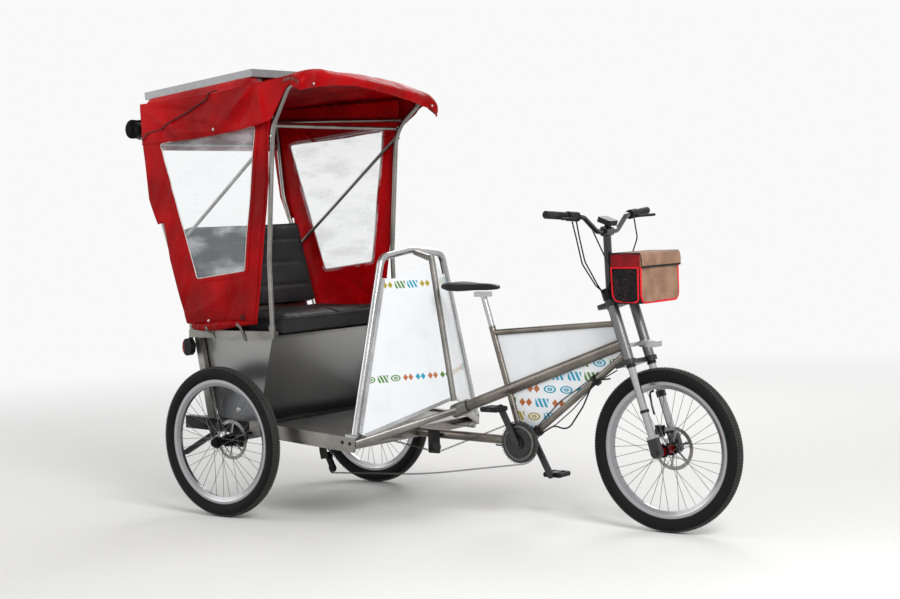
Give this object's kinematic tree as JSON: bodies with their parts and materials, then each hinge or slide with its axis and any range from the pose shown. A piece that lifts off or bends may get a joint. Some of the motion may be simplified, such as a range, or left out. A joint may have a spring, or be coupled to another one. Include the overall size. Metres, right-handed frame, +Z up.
{
  "type": "cycle rickshaw",
  "caption": "Three-wheeled cycle rickshaw with a covered two-seat passenger body on the rear wheels and a bicycle front with chain drive, front fork and handlebar bag.",
  "frame": {"origin": "on the ground under the middle of the whole length, in the vehicle's middle plane", "axes": "+X forwards, +Y to the rider's left, +Z up"},
  "size_m": [2.9829, 1.2, 2.0125],
  "materials": {
    "rail_black": "satin black powder coat",
    "frame_metal": "brushed",
    "box_metal": "brushed sheet",
    "panel_white": "white sheet with coloured motif bands",
    "strip_metal": "satin",
    "seat_black": "black upholstery vinyl",
    "roof_red": "coated red cloth",
    "window_clear": "clear sheet",
    "solar_cells": "dark cells under clear sheet in a grey frame",
    "lamp_red": "moulded lens",
    "tyre_black": "moulded tread",
    "rim_silver": "anodised rim and steel spokes",
    "disc_steel": "ground ring",
    "steel_dark": "oiled steel",
    "gear_alloy": "satin",
    "cast_grey": "rough cast",
    "fork_metal": "satin outer tubes and polished lower legs",
    "bar_silver": "polished",
    "bar_black": "gloss black",
    "grip_black": "moulded",
    "plastic_black": "moulded",
    "bag_tan": "woven cloth with mesh pocket"
  },
  "bodies": {
    "chassis": {"chassis_rails": "rail_black", "foot_deck": "frame_metal", "front_tongue": "frame_metal", "grab_hoop": "frame_metal", "centre_post": "frame_metal", "front_panels": "panel_white", "panel_strips": "strip_metal", "seat_box": "box_metal", "seat_frame": "frame_metal", "seat_cushion": "seat_black", "seat_back": "seat_black", "canopy_frame": "frame_metal", "canopy_roof": "roof_red", "canopy_sides": "roof_red", "windows": "window_clear", "rear_flap": "roof_red", "rolled_curtain": "seat_black", "solar_panel": "solar_cells", "tail_lamps": "lamp_red", "axle_carriers": "rail_black", "differential": "cast_grey", "bike_frame": "frame_metal", "frame_panels": "panel_white", "seat_post": "bar_silver", "saddle": "seat_black", "gear_block": "steel_dark", "gear_hangers": "rail_black", "rear_mech": "plastic_black", "chain_idler": "plastic_black", "drive_chain": "steel_dark", "rear_calipers": "plastic_black", "frame_cables": "plastic_black", "rear_stays": "rail_black", "solar_cable": "plastic_black"},
    "steering": {"fork": "fork_metal", "handlebar": "bar_black", "bar_controls": "grip_black", "bar_bag": "bag_tan", "bag_bracket": "plastic_black", "front_lamp": "plastic_black", "front_caliper": "plastic_black", "bar_cables": "plastic_black", "bar_display": "plastic_black"},
    "front_wheel": {"front_wheel": "rim_silver", "front_tyre": "tyre_black", "front_disc": "disc_steel"},
    "rear_wheel_right": {"rear_wheel_right": "rim_silver", "rear_shaft_right": "steel_dark", "rear_tyre_right": "tyre_black", "rear_disc_right": "disc_steel"},
    "rear_wheel_left": {"rear_wheel_left": "rim_silver", "rear_shaft_left": "steel_dark", "rear_tyre_left": "tyre_black", "rear_disc_left": "disc_steel"},
    "crank": {"crankset": "gear_alloy"},
    "pedal_right": {"pedal_right": "plastic_black"},
    "pedal_left": {"pedal_left": "plastic_black"}
  },
  "joints": [
    {"name": "steer", "type": "hinge", "parent": "chassis", "child": "steering", "pos_m": [0.94413, 0, 0.81146], "axis": [-0.3007, 0, 0.9537], "range_deg": [-45, 45]},
    {"name": "front_wheel_spin", "type": "hinge", "parent": "steering", "child": "front_wheel", "pos_m": [1.1515, 0, 0.34], "axis": [0, 1, 0], "continuous": true},
    {"name": "rear_wheel_right_spin", "type": "hinge", "parent": "chassis", "child": "rear_wheel_right", "pos_m": [-0.8285, -0.545, 0.34], "axis": [0, 1, 0], "continuous": true},
    {"name": "rear_wheel_left_spin", "type": "hinge", "parent": "chassis", "child": "rear_wheel_left", "pos_m": [-0.8285, 0.545, 0.34], "axis": [0, 1, 0], "continuous": true},
    {"name": "crank_spin", "type": "hinge", "parent": "chassis", "child": "crank", "pos_m": [0.4545, 0, 0.338], "axis": [0, 1, 0], "continuous": true},
    {"name": "pedal_right_spin", "type": "hinge", "parent": "crank", "child": "pedal_right", "pos_m": [0.37375, -0.112, 0.48987], "axis": [0, 1, 0], "continuous": true},
    {"name": "pedal_left_spin", "type": "hinge", "parent": "crank", "child": "pedal_left", "pos_m": [0.53525, 0.112, 0.18613], "axis": [0, 1, 0], "continuous": true}
  ]
}
